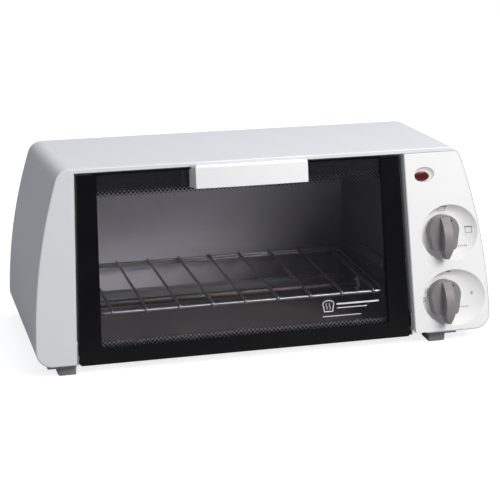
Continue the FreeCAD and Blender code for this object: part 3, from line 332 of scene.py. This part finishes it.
# darker towards one end of a direction, in uneven clouds: real heat browning on the crumb tray, painted
# shade on the cavity walls
def makeTarnishAndShadeGroup():
    # browned and darkened by heat towards one end of a direction
    tree, source, result = startGroup("heatTarnish", [
        ("Color", "NodeSocketColor", (0.5, 0.5, 0.5, 1)),
        ("Dark Color", "NodeSocketColor", (0.1, 0.08, 0.07, 1)),
        ("Direction", "NodeSocketVector", (0, 0, 1)),
        ("Start", "NodeSocketFloat", 0.0),
        ("End", "NodeSocketFloat", 0.1),
        ("Cloud", "NodeSocketFloat", 0.3),
    ], [("Color", "NodeSocketColor"), ("Darkening", "NodeSocketFloat")])
    coordinate = tree.nodes.new("ShaderNodeTexCoord")
    along = tree.nodes.new("ShaderNodeVectorMath")
    along.operation = "DOT_PRODUCT"
    tree.links.new(coordinate.outputs["Object"], along.inputs[0])
    tree.links.new(source.outputs["Direction"], along.inputs[1])
    ramp = tree.nodes.new("ShaderNodeMapRange")
    ramp.interpolation_type = "SMOOTHSTEP"
    tree.links.new(along.outputs["Value"], ramp.inputs["Value"])
    tree.links.new(source.outputs["Start"], ramp.inputs["From Min"])
    tree.links.new(source.outputs["End"], ramp.inputs["From Max"])
    cloud = addMath(tree, "SUBTRACT", addNoise(tree, effectShape["heatScale"], 5), 0.5)
    unevenness = addMath(tree, "MULTIPLY", cloud, source.outputs["Cloud"])
    darkening = addMath(tree, "ADD", ramp.outputs["Result"], unevenness)
    color = addMix(tree, darkening, source.outputs["Color"], source.outputs["Dark Color"])
    tree.links.new(color, result.inputs["Color"])
    tree.links.new(darkening, result.inputs["Darkening"])
    return tree


mottleGroup = makeMottleGroup()
rolledGroup = makeRolledGroup()
dustGroup = makeDustGroup()
tarnishAndShadeGroup = makeTarnishAndShadeGroup()
print("shared effects ready")


# Finishes.

def startMaterial(name, plain):
    material = bpy.data.materials.new(name)
    material.use_nodes = True
    shader = material.node_tree.nodes["Principled BSDF"]
    for title, value in plain.items():
        shader.inputs[title].default_value = value
    return material, material.node_tree, shader


def placeGroup(tree, group, values):
    node = tree.nodes.new("ShaderNodeGroup")
    node.node_tree = group
    for title, value in values.items():
        if isinstance(value, bpy.types.NodeSocket):
            tree.links.new(value, node.inputs[title])
        elif isinstance(value, tuple) and len(value) == 3 and node.inputs[title].type == "RGBA":
            node.inputs[title].default_value = (*value, 1)
        else:
            node.inputs[title].default_value = value
    return node


def addBump(tree, shader, height, strength, distance):
    bump = tree.nodes.new("ShaderNodeBump")
    bump.inputs["Strength"].default_value = strength
    bump.inputs["Distance"].default_value = distance
    tree.links.new(height, bump.inputs["Height"])
    tree.links.new(bump.outputs["Normal"], shader.inputs["Normal"])


def makeMouldedFinish(name, look):
    material, tree, shader = startMaterial(name, look["plain"])
    mottle = placeGroup(tree, mottleGroup, look["mottle"])
    color = mottle.outputs["Color"]
    if "dust" in look:
        dust = placeGroup(tree, dustGroup, {**look["dust"], "Color": color})
        color = dust.outputs["Color"]
    if "heat" in look:
        heat = placeGroup(tree, tarnishAndShadeGroup, {**look["heat"], "Color": color})
        color = heat.outputs["Color"]
    tree.links.new(color, shader.inputs["Base Color"])
    tree.links.new(mottle.outputs["Roughness"], shader.inputs["Roughness"])
    addBump(tree, shader, mottle.outputs["Grain"], look["bump"], look["depth"])
    return material


def makeRolledFinish(name, look):
    material, tree, shader = startMaterial(name, look["plain"])
    rolled = placeGroup(tree, rolledGroup, look["rolled"])
    color = rolled.outputs["Color"]
    # painted shade on the cavity walls, real heat browning on the crumb tray
    if "heat" in look:
        heat = placeGroup(tree, tarnishAndShadeGroup, {**look["heat"], "Color": color})
        color = heat.outputs["Color"]
    tree.links.new(color, shader.inputs["Base Color"])
    tree.links.new(rolled.outputs["Roughness"], shader.inputs["Roughness"])
    addBump(tree, shader, rolled.outputs["Lines"], look["bump"], look["depth"])
    return material


mouldedLooks = {
    "white_enamel": {
        "plain": {"Specular IOR Level": 0.35, "Coat Weight": 0.06, "Coat Roughness": 0.2},
        "mottle": {"Color": (0.735, 0.75, 0.775), "Second Color": (0.70, 0.715, 0.745), "Patch Scale": 9.0,
                   "Grain Scale": 700.0, "Amount": 0.4, "Roughness": 0.48, "Roughness Spread": 0.10},
        "dust": {"Dust Color": (0.60, 0.60, 0.59), "Amount": 0.16},
        "bump": 0.10, "depth": 0.0004,
    },
    "white_plastic": {
        "plain": {"Specular IOR Level": 0.5},
        "mottle": {"Color": (0.90, 0.90, 0.895), "Second Color": (0.875, 0.875, 0.868), "Patch Scale": 14.0,
                   "Grain Scale": 1500.0, "Amount": 0.4, "Roughness": 0.38, "Roughness Spread": 0.08},
        "dust": {"Dust Color": (0.70, 0.69, 0.66), "Amount": 0.10},
        "bump": 0.06, "depth": 0.0002,
    },
    "black_enamel": {
        "plain": {"Specular IOR Level": 0.35},
        "mottle": {"Color": (0.002, 0.002, 0.0024), "Second Color": (0.004, 0.004, 0.0045),
                   "Patch Scale": 25.0, "Grain Scale": 1200.0, "Amount": 0.5, "Roughness": 0.17, "Roughness Spread": 0.08},
        "bump": 0.08, "depth": 0.0002,
    },
    "warm_grey_plastic": {
        "plain": {"Specular IOR Level": 0.45},
        "mottle": {"Color": (0.24, 0.224, 0.23), "Second Color": (0.205, 0.19, 0.196), "Patch Scale": 60.0,
                   "Grain Scale": 2200.0, "Amount": 0.5, "Roughness": 0.46, "Roughness Spread": 0.12},
        "dust": {"Dust Color": (0.42, 0.40, 0.38), "Amount": 0.12},
        "bump": 0.16, "depth": 0.0002,
    },
    "foot_grey_plastic": {
        "plain": {"Specular IOR Level": 0.35},
        "mottle": {"Color": (0.27, 0.27, 0.285), "Second Color": (0.22, 0.22, 0.235), "Patch Scale": 60.0,
                   "Grain Scale": 1800.0, "Amount": 0.5, "Roughness": 0.6, "Roughness Spread": 0.15},
        "bump": 0.2, "depth": 0.0003,
    },
    "black_plastic": {
        "plain": {"Specular IOR Level": 0.4},
        "mottle": {"Color": (0.02, 0.02, 0.021), "Second Color": (0.034, 0.033, 0.032), "Patch Scale": 50.0,
                   "Grain Scale": 1600.0, "Amount": 0.5, "Roughness": 0.5, "Roughness Spread": 0.15},
        "bump": 0.2, "depth": 0.0002,
    },
    "ceramic": {
        "plain": {"Specular IOR Level": 0.3},
        "mottle": {"Color": (0.74, 0.70, 0.62), "Second Color": (0.60, 0.55, 0.47), "Patch Scale": 120.0,
                   "Grain Scale": 2600.0, "Amount": 0.7, "Roughness": 0.75, "Roughness Spread": 0.15},
        "bump": 0.35, "depth": 0.0003,
    },
    "lead_sleeve": {
        "plain": {"Specular IOR Level": 0.25, "Sheen Weight": 0.2},
        "mottle": {"Color": (0.66, 0.64, 0.58), "Second Color": (0.54, 0.51, 0.45), "Patch Scale": 160.0,
                   "Grain Scale": 3000.0, "Amount": 0.8, "Roughness": 0.7, "Roughness Spread": 0.2},
        "bump": 0.5, "depth": 0.0003,
    },
    "element_sheath": {
        "plain": {"Metallic": 0.75},
        "mottle": {"Color": (0.06, 0.05, 0.046), "Second Color": (0.10, 0.08, 0.072), "Patch Scale": 70.0,
                   "Grain Scale": 1800.0, "Amount": 0.8, "Roughness": 0.5, "Roughness Spread": 0.2},
        "bump": 0.25, "depth": 0.0002,
    },
}

rolledLooks = {
    "galvanised": {
        "plain": {"Metallic": 0.85},
        "rolled": {"Color": (0.52, 0.53, 0.55), "Line Color": (0.36, 0.37, 0.39), "Line Scale": 260.0,
                   "Amount": 0.7, "Roughness": 0.40},
        "bump": 0.1, "depth": 0.0002,
    },
    "zinc_screw": {
        "plain": {"Metallic": 1.0},
        "rolled": {"Color": (0.62, 0.62, 0.63), "Line Color": (0.45, 0.44, 0.42), "Line Scale": 900.0,
                   "Amount": 0.6, "Roughness": 0.26},
        "bump": 0.1, "depth": 0.0001,
    },
    "bright_wire": {
        "plain": {"Metallic": 1.0},
        "rolled": {"Color": (0.27, 0.27, 0.29), "Line Color": (0.17, 0.16, 0.16), "Line Scale": 500.0,
                   "Amount": 0.6, "Roughness": 0.32},
        "bump": 0.08, "depth": 0.0001,
    },
}

# the lining walls are lit and shaded copies of one steel, painted light and shade; painted shade darkens
# the back wall to the lower right; the side walls are darker towards the bottom and the ceiling towards the
# right; the tray is browned by heat towards its front
liningLooks = {
    # back wall: lit copy of the lining steel, painted light, with painted shade towards the lower right
    "cavity_back_wall": {
        "plain": {"Metallic": 0.1, "Specular IOR Level": 0.4},
        "rolled": {"Color": (0.80, 0.78, 0.85), "Line Color": (0.64, 0.62, 0.68), "Line Scale": 200.0,
                   "Amount": 0.5, "Roughness": 0.45},
        "heat": {"Dark Color": (0.055, 0.048, 0.052), "Direction": (0.7, 0.0, -1.0), "Start": -0.14,
                 "End": 0.02, "Cloud": 0.16},
        "bump": 0.12, "depth": 0.0003,
    },
    # left wall: shaded copy of the lining steel, painted shade
    "cavity_left_wall": {
        "plain": {"Metallic": 0.35, "Specular IOR Level": 0.4},
        "rolled": {"Color": (0.26, 0.25, 0.27), "Line Color": (0.18, 0.17, 0.18), "Line Scale": 200.0,
                   "Amount": 0.5, "Roughness": 0.45},
        "heat": {"Dark Color": (0.05, 0.044, 0.044), "Direction": (0.0, 0.0, -1.0), "Start": -0.14,
                 "End": -0.02, "Cloud": 0.2},
        "bump": 0.12, "depth": 0.0003,
    },
    # right wall: darker shaded copy of the lining steel, painted shade
    "cavity_right_wall": {
        "plain": {"Metallic": 0.35, "Specular IOR Level": 0.4},
        "rolled": {"Color": (0.10, 0.094, 0.10), "Line Color": (0.07, 0.065, 0.07), "Line Scale": 200.0,
                   "Amount": 0.5, "Roughness": 0.42},
        "heat": {"Dark Color": (0.035, 0.03, 0.032), "Direction": (0.0, 0.0, -1.0), "Start": -0.16,
                 "End": -0.02, "Cloud": 0.25},
        "bump": 0.12, "depth": 0.0003,
    },
    # ceiling: shaded copy of the lining steel, painted shade
    "cavity_ceiling": {
        "plain": {"Metallic": 0.35, "Specular IOR Level": 0.4},
        "rolled": {"Color": (0.20, 0.19, 0.20), "Line Color": (0.13, 0.12, 0.13), "Line Scale": 200.0,
                   "Amount": 0.5, "Roughness": 0.45},
        "heat": {"Dark Color": (0.05, 0.044, 0.044), "Direction": (1.0, 0.0, 0.0), "Start": -0.10,
                 "End": 0.10, "Cloud": 0.25},
        "bump": 0.12, "depth": 0.0003,
    },
    "crumb_tray": {
        "plain": {"Metallic": 0.35, "Specular IOR Level": 0.4},
        "rolled": {"Color": (0.40, 0.40, 0.41), "Line Color": (0.30, 0.30, 0.31), "Line Scale": 240.0,
                   "Amount": 0.6, "Roughness": 0.42},
        "heat": {"Dark Color": (0.088, 0.077, 0.08), "Direction": (0.1, -1.0, 0.0), "Start": -0.085,
                 "End": -0.045, "Cloud": 0.3},
        "bump": 0.14, "depth": 0.0003,
    },
}

paneLook = {
    "clear": (0.96, 0.96, 0.97),
    "ior": 1.45,
    "roughness": 0.02,
    "smear": 0.03,
    "smearScale": 30.0,
    "smearStretch": (1, 1, 3),
    "smearShade": 0.95,
}

lensLook = {
    "deep": (0.05, 0.0025, 0.004),
    "bright": (0.15, 0.006, 0.009),
    "roughness": 0.12,
    "cellScale": 420.0,
    "cellRoughness": 0.06,
    "bump": 0.1,
    "depth": 0.0002,
}


def makePaneFinish(look):
    # clear pane that lamps shine through
    material, tree, shader = startMaterial("door_glass", {
        "IOR": look["ior"], "Transmission Weight": 1.0, "Metallic": 0.0})
    smear = addNoise(tree, look["smearScale"], 4, look["smearStretch"])
    rough = addMath(tree, "ADD", addMath(tree, "MULTIPLY", smear, look["smear"]), look["roughness"])
    shaded = tuple(value * look["smearShade"] for value in look["clear"])
    tint = addMix(tree, smear, look["clear"], shaded)
    tree.links.new(tint, shader.inputs["Base Color"])
    tree.links.new(rough, shader.inputs["Roughness"])
    clear = tree.nodes.new("ShaderNodeBsdfTransparent")
    clear.inputs["Color"].default_value = (*look["clear"], 1)
    path = tree.nodes.new("ShaderNodeLightPath")
    choose = tree.nodes.new("ShaderNodeMixShader")
    tree.links.new(path.outputs["Is Shadow Ray"], choose.inputs[0])
    tree.links.new(shader.outputs[0], choose.inputs[1])
    tree.links.new(clear.outputs[0], choose.inputs[2])
    tree.links.new(choose.outputs[0], tree.nodes["Material Output"].inputs["Surface"])
    return material


def makeLensFinish(look):
    material, tree, shader = startMaterial("red_lens", {
        "Specular IOR Level": 0.6, "Coat Weight": 0.6, "Coat Roughness": 0.05})
    cells = addNoise(tree, look["cellScale"], 2)
    tree.links.new(addMix(tree, cells, look["deep"], look["bright"]), shader.inputs["Base Color"])
    rough = addMath(tree, "ADD", addMath(tree, "MULTIPLY", cells, look["cellRoughness"]), look["roughness"])
    tree.links.new(rough, shader.inputs["Roughness"])
    addBump(tree, shader, cells, look["bump"], look["depth"])
    return material


finishes = {}
for finishName, finishLook in mouldedLooks.items():
    finishes[finishName] = makeMouldedFinish(finishName, finishLook)
for finishName, finishLook in rolledLooks.items():
    finishes[finishName] = makeRolledFinish(finishName, finishLook)
finishes["door_glass"] = makePaneFinish(paneLook)
finishes["red_lens"] = makeLensFinish(lensLook)
linings = {name: makeRolledFinish(name + "_lining", look) for name, look in liningLooks.items()}

for nodeName, node in frame["nodes"].items():
    for materialSlot in node.material_slots:
        slotName = materialSlot.material.name.split(".")[0]
        materialSlot.material = linings.get(nodeName) or finishes[slotName]
print("finishes on all CAD nodes")


# Added pieces.

def addPiece(name, bm, material, body):
    mesh = bpy.data.meshes.new(name)
    bm.to_mesh(mesh)
    bm.free()
    piece = bpy.data.objects.new(name, mesh)
    bpy.context.scene.collection.objects.link(piece)
    mesh.materials.append(material)
    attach(piece, body)


def addSlab(bm, x0, x1, v0, v1, w0, w1):
    # a thin block in front coordinates
    made = bmesh.ops.create_cube(bm, size=1)
    bmesh.ops.scale(bm, verts=made["verts"], vec=(x1 - x0, v1 - v0, w1 - w0))
    bmesh.ops.translate(bm, verts=made["verts"], vec=((x0 + x1) / 2, (v0 + v1) / 2, (w0 + w1) / 2))
    return made["verts"]


borderPrint = {
    "bandFoot": 150.8 * mm,     # solid band along the pane's head
    "bandHead": 163.0 * mm,
    "pitch": 3.8 * mm,
    "rowPitch": 1.9 * mm,
    "topDots": (1.76, 1.62, 1.50, 1.25, 0.70),
    "bottomDots": (1.74, 1.56, 1.30, 0.98, 0.62),
    "bottomStart": 10.4 * mm,
    "doorHead": 165.6 * mm,
    "paneBack": -11.0 * mm,
    "ink": 0.06 * mm,
}


def paneEdges(v):
    # x of the black side strips' inner edges at v, which lean in towards the door's head
    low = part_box("door_rail_bottom")
    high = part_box("door_rail_left")[1].x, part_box("door_rail_right")[0].x
    share = v / borderPrint["doorHead"]
    left = low[0].x + (high[0] - low[0].x) * share
    right = low[1].x + (high[1] - low[1].x) * share
    return left, right


def makeBorderPrint(settings):
    bm = bmesh.new()
    back = settings["paneBack"]
    front = back - settings["ink"]
    foot, head = settings["bandFoot"], settings["bandHead"]
    verts = addSlab(bm, -1, 1, foot, head, front, back)
    for vertex in verts:
        left, right = paneEdges(vertex.co.y)
        vertex.co.x = left - 2 * mm if vertex.co.x < 0 else right + 2 * mm
    rows = []
    for index, radius in enumerate(settings["topDots"]):
        rows.append((foot - index * settings["rowPitch"], radius, index))
    for index, radius in enumerate(settings["bottomDots"]):
        rows.append((settings["bottomStart"] + index * settings["rowPitch"], radius, index))
    for height, radius, index in rows:
        left, right = paneEdges(height)
        x = left + (index % 2) * settings["pitch"] / 2
        while x < right:
            size = radius * mm
            made = bmesh.ops.create_cone(
                bm, cap_ends=True, segments=8, radius1=size, radius2=size, depth=settings["ink"])
            bmesh.ops.translate(bm, verts=made["verts"], vec=(x, height, (front + back) / 2))
            x += settings["pitch"]
    bmesh.ops.transform(bm, matrix=frontMatrix, verts=bm.verts)
    addPiece("door_border_print", bm, finishes["black_enamel"], "door")


makeBorderPrint(borderPrint)
print("printed border on the pane")


inkLook = {
    "plain": {"Specular IOR Level": 0.4},
    "mottle": {"Color": (0.80, 0.80, 0.80), "Second Color": (0.62, 0.62, 0.63), "Patch Scale": 300.0,
               "Grain Scale": 2500.0, "Amount": 0.6, "Roughness": 0.5, "Roughness Spread": 0.1},
    "bump": 0.1, "depth": 0.0001,
}
dialInkLook = {
    "plain": {"Specular IOR Level": 0.3},
    "mottle": {"Color": (0.20, 0.20, 0.21), "Second Color": (0.30, 0.30, 0.31), "Patch Scale": 400.0,
               "Grain Scale": 2500.0, "Amount": 0.7, "Roughness": 0.55, "Roughness Spread": 0.1},
    "bump": 0.1, "depth": 0.0001,
}
dotInkLook = {
    "plain": {"Specular IOR Level": 0.3},
    "mottle": {"Color": (0.022, 0.02, 0.021), "Second Color": (0.035, 0.032, 0.033), "Patch Scale": 400.0,
               "Grain Scale": 2500.0, "Amount": 0.7, "Roughness": 0.5, "Roughness Spread": 0.1},
    "bump": 0.1, "depth": 0.0001,
}
whiteInk = makeMouldedFinish("white_ink", inkLook)
dotInk = makeMouldedFinish("dot_ink", dotInkLook)
dialInk = makeMouldedFinish("dial_ink", dialInkLook)


def addStroke(bm, start, end, width):
    # one straight printed line between two points (x, v), with round ends
    a, b = Vector((*start, 0)), Vector((*end, 0))
    length = (b - a).length
    turn = math.atan2(b.y - a.y, b.x - a.x)
    cuts = max(1, round(length / strokeStep))
    made = bmesh.ops.create_grid(bm, x_segments=cuts, y_segments=1, size=0.5)
    bmesh.ops.scale(bm, verts=made["verts"], vec=(length, width, 1))
    placed = Matrix.Translation((a + b) / 2) @ Matrix.Rotation(turn, 4, "Z")
    bmesh.ops.transform(bm, matrix=placed, verts=made["verts"])
    for middle in (a, b):
        cap = bmesh.ops.create_circle(bm, cap_ends=True, segments=10, radius=width / 2)
        bmesh.ops.translate(bm, verts=cap["verts"], vec=middle)


def addPath(bm, points, width):
    for first, second in zip(points, points[1:]):
        addStroke(bm, first, second, width)


strokeStep = 0.8 * mm      # longest piece of a printed line

paneMark = {
    "corner": (50.5 * mm, 27.0 * mm),
    "sliceWidth": 10.5 * mm,
    "sliceHeight": 10.0 * mm,
    "line": 0.9 * mm,
    "shoulder": 0.66,       # share of the slice's height where its round crown starts
    "waves": (0.34, 0.62),  # shares of its width
    "waveSteps": 7,
    "waveSway": 0.05,
    "waveFoot": 0.22,
    "waveRise": 0.085,
    "waveLine": 0.7,
    "rules": ((64.0, 33.2, 103.0, 1.5), (64.0, 29.6, 92.0, 0.8), (50.5, 22.6, 86.0, 0.7)),
    "lift": 0.06 * mm,
    "paneFront": -7.0 * mm,
}


def makePaneMark(settings):
    # a slice of bread with two heat waves, and three plain rules
    bm = bmesh.new()
    x, v = settings["corner"]
    width, height, line = settings["sliceWidth"], settings["sliceHeight"], settings["line"]
    turns = [math.radians(angle) for angle in range(-30, 211, 20)]
    crown = [(math.cos(turn), math.sin(turn)) for turn in turns]
    outline = [(x + width * 0.12, v), (x + width * 0.88, v)]
    level = v + height * settings["shoulder"]
    rise = height * 0.34
    outline += [(x + width / 2 + width / 2 * c, level + rise * s) for c, s in crown]
    outline.append(outline[0])
    addPath(bm, outline, line)
    for offset in settings["waves"]:
        wave = []
        for step in range(settings["waveSteps"]):
            sway = math.sin(step * math.pi / 3) * width * settings["waveSway"]
            share = settings["waveFoot"] + settings["waveRise"] * step
            wave.append((x + width * offset + sway, v + height * share))
        addPath(bm, wave, line * settings["waveLine"])
    for x0, level, x1, thick in settings["rules"]:
        addStroke(bm, (x0 * mm, level * mm), (x1 * mm, level * mm), thick * mm)
    bmesh.ops.translate(bm, verts=bm.verts, vec=(0, 0, settings["paneFront"] + settings["lift"]))
    bmesh.ops.transform(bm, matrix=frontMatrix, verts=bm.verts)
    addPiece("door_mark", bm, whiteInk, "door")


makePaneMark(paneMark)
print("plain mark on the pane")


layReach = 30 * mm      # how far in front of the surface the drop starts


def layOn(bm, nodeName, lift):
    # drops a flat print onto a CAD surface along the front's own direction
    target = frame["nodes"][nodeName]
    for vertex in bm.verts:
        start = vertex.co + frontOut * layReach
        found = target.ray_cast(start, -frontOut, distance=3 * layReach)
        if found[0]:
            vertex.co = found[1] + frontOut * lift


dialMarks = {
    "line": 0.42 * mm,
    "lift": 0.05 * mm,
    "barCount": 5,
    "toast": ((165.9, 112.6, 6.6, 4.4), (191.2, 91.8, 5.4, 5.4)),    # middle x, v, width, height
    "bars": ((186.0, 77.4, 8.6), (186.0, 21.2, 8.6)),
    "fan": (148.7, 38.6),
    "cup": (146.6, 30.2),
    "tick": (170.6, 54.8),
    "numeral": ("8", 193.0, 33.2, 4.6),
}


def makeDialMarks(settings):
    bm = bmesh.new()
    line = settings["line"]
    for x, v, width, height in settings["toast"]:
        left, right = (x - width / 2) * mm, (x + width / 2) * mm
        low, high = (v - height / 2) * mm, (v + height / 2) * mm
        addPath(bm, [(left, high), (left, low), (right, low), (right, high)], line)
        addStroke(bm, (left - line, high), (right + line, high), line * 2.4)
    for x, v, width in settings["bars"]:
        for index in range(settings["barCount"]):
            start = (x - width / 2 + index * width / settings["barCount"]) * mm
            addStroke(bm, (start, (v - 0.5) * mm), (start + 0.2 * mm, (v + 0.5) * mm), line * 1.5)
    x, v = settings["fan"]
    for index in (-1, 0, 1):
        middle = (x + index * 1.9) * mm
        addStroke(bm, (middle - 0.5 * mm, (v - 2.0) * mm), (middle + 0.5 * mm, (v + 2.0) * mm), line * 1.5)
    x, v = settings["cup"]
    addPath(bm, [((x - 1.6) * mm, (v + 1.7) * mm), ((x - 1.6) * mm, (v - 1.7) * mm),
                 ((x + 1.6) * mm, (v - 1.7) * mm), ((x + 1.6) * mm, (v + 1.7) * mm),
                 ((x - 1.6) * mm, (v + 1.7) * mm)], line * 1.3)
    x, v = settings["tick"]
    addStroke(bm, ((x - 1.2) * mm, v * mm), ((x + 1.2) * mm, v * mm), line * 3)
    text, x, v, size = settings["numeral"]
    curve = bpy.data.curves.new("dialNumeral", "FONT")
    curve.body = text
    curve.size = size * mm
    curve.align_x, curve.align_y = "CENTER", "CENTER"
    holder = bpy.data.objects.new("dialNumeral", curve)
    mesh = bpy.data.meshes.new_from_object(holder)
    mesh.transform(Matrix.Translation((x * mm, v * mm, 0)))
    bm.from_mesh(mesh)
    bpy.data.objects.remove(holder)
    bpy.data.meshes.remove(mesh)
    bmesh.ops.transform(bm, matrix=frontMatrix, verts=bm.verts)
    layOn(bm, "control_panel", settings["lift"])
    addPiece("dial_marks", bm, dialInk, "housing")


makeDialMarks(dialMarks)
print("dial marks")


knobDot = {"right": 5.9 * mm, "up": 10.4 * mm, "radius": 1.05 * mm, "lift": 0.12 * mm}


def makeKnobDot(settings, name, axis, knob, body):
    # index dot on the knob's disc
    bm = bmesh.new()
    bmesh.ops.create_circle(bm, cap_ends=True, segments=20, radius=settings["radius"])
    bmesh.ops.inset_region(bm, faces=bm.faces, thickness=settings["radius"] * 0.4)
    middle = axis + frontUp * settings["up"] + Vector((settings["right"], 0, 0))
    turned = frontMatrix.copy()
    turned.translation = middle
    bmesh.ops.transform(bm, matrix=turned, verts=bm.verts)
    layOn(bm, knob, settings["lift"])
    addPiece(name, bm, dotInk, body)


makeKnobDot(knobDot, "mode_knob_dot", modeAxis, "mode_knob", "mode_control")
makeKnobDot(knobDot, "timer_knob_dot", timerAxis, "timer_knob", "timer_control")
print("knob dots")
